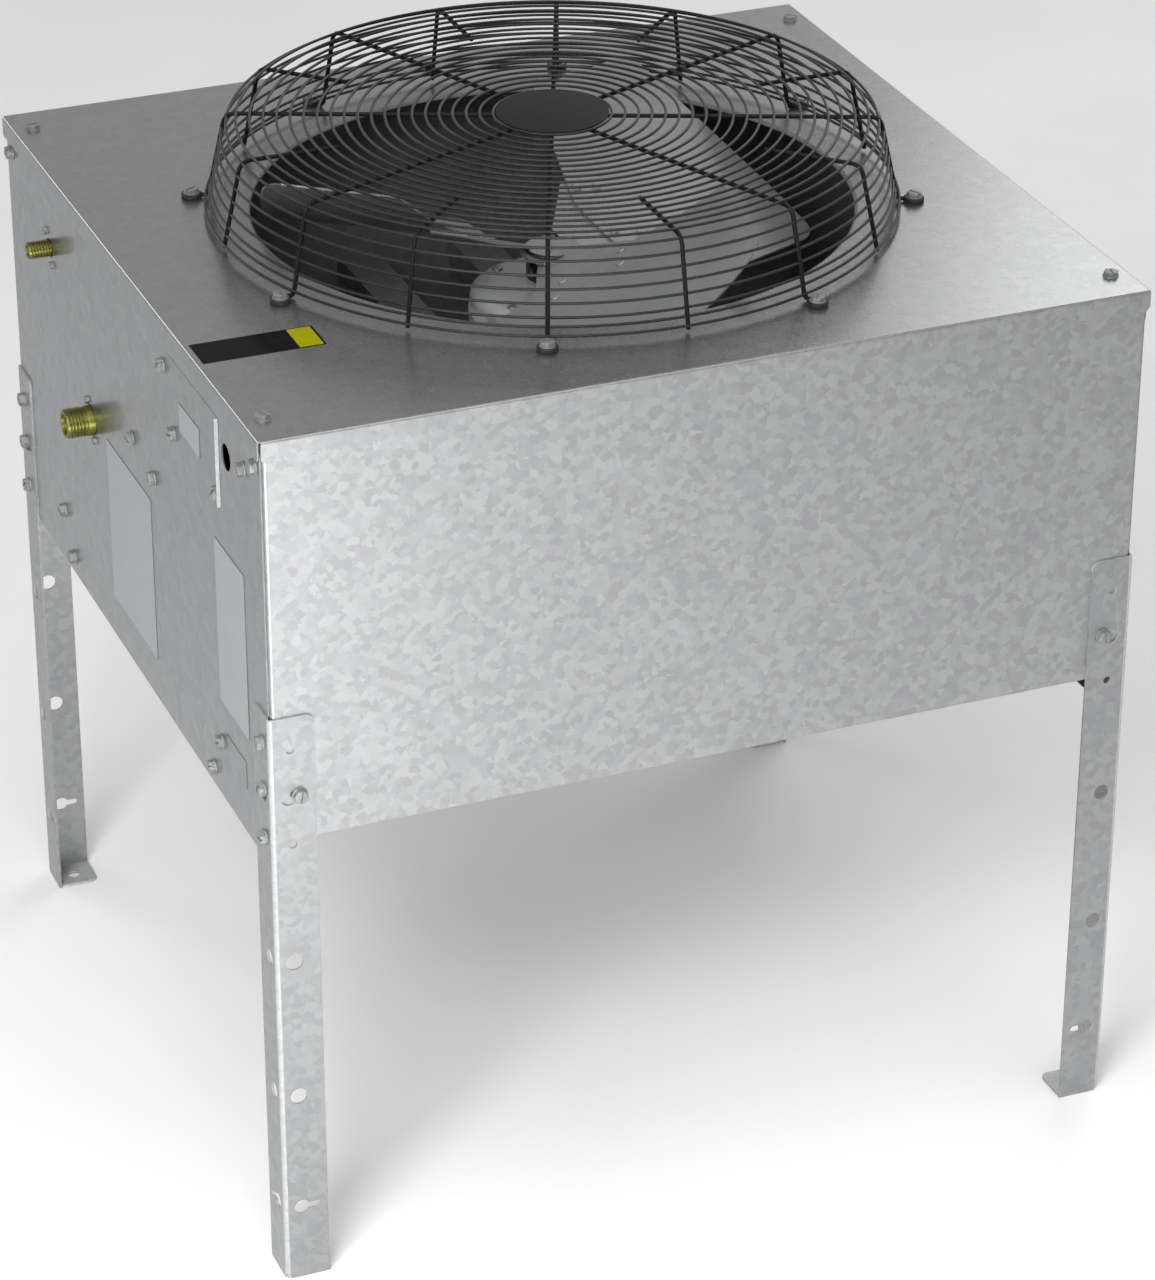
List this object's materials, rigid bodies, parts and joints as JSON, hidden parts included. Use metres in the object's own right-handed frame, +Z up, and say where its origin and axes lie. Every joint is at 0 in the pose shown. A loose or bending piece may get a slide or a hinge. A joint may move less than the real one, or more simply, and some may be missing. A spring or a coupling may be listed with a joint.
{
  "type": "remote condenser",
  "caption": "Sheet-metal air-cooled condenser on angle legs, with a top fan under a domed wire guard, a flat coil below and brass couplings in one end.",
  "frame": {"origin": "on the floor, in the middle of the four foot holes, below the fan's axis", "axes": "+X along the long front face to the right, +Y to the back, +Z up along the fan's axis"},
  "size_m": [0.784, 0.711, 0.8555],
  "materials": {
    "galvanised_cover": "spangled zinc",
    "galvanised_panel": "spangled zinc",
    "galvanised_leg": "plain zinc",
    "galvanised_inner": "plain zinc",
    "fins": "mill",
    "motor_paint": "satin light grey",
    "fan_alloy": "mill",
    "spider_zinc": "plain zinc",
    "shaft_steel": "ground",
    "guard_paint": "satin black",
    "washer_rubber": "matt",
    "coupling_brass": "turned",
    "line_copper": "drawn"
  },
  "bodies": {
    "cabinet": {"top_cover": "galvanised_cover", "front_panel": "galvanised_panel", "back_panel": "galvanised_panel", "left_panel": "galvanised_panel", "right_panel": "galvanised_panel", "leg_front_left": "galvanised_leg", "leg_front_right": "galvanised_leg", "leg_back_left": "galvanised_leg", "leg_back_right": "galvanised_leg", "control_box": "galvanised_inner", "access_cover": "galvanised_leg", "fin_pack": "fins", "tube_sheet_left": "galvanised_inner", "tube_sheet_right": "galvanised_inner", "return_bends_left": "line_copper", "return_bends_right": "line_copper", "discharge_coupling": "coupling_brass", "liquid_coupling": "coupling_brass", "discharge_line": "line_copper", "liquid_line": "line_copper", "fan_motor": "motor_paint", "motor_rail_left": "galvanised_inner", "motor_rail_right": "galvanised_inner", "guard_top": "guard_paint", "guard_side": "guard_paint", "guard_washers": "washer_rubber"},
    "fan": {"fan_blade_1": "fan_alloy", "fan_blade_2": "fan_alloy", "fan_blade_3": "fan_alloy", "fan_spider": "spider_zinc", "fan_shaft": "shaft_steel"}
  },
  "joints": [
    {"name": "fan_spin", "type": "hinge", "parent": "cabinet", "child": "fan", "pos_m": [0, 0, 0.731], "axis": [0, 0, 1], "continuous": true}
  ]
}
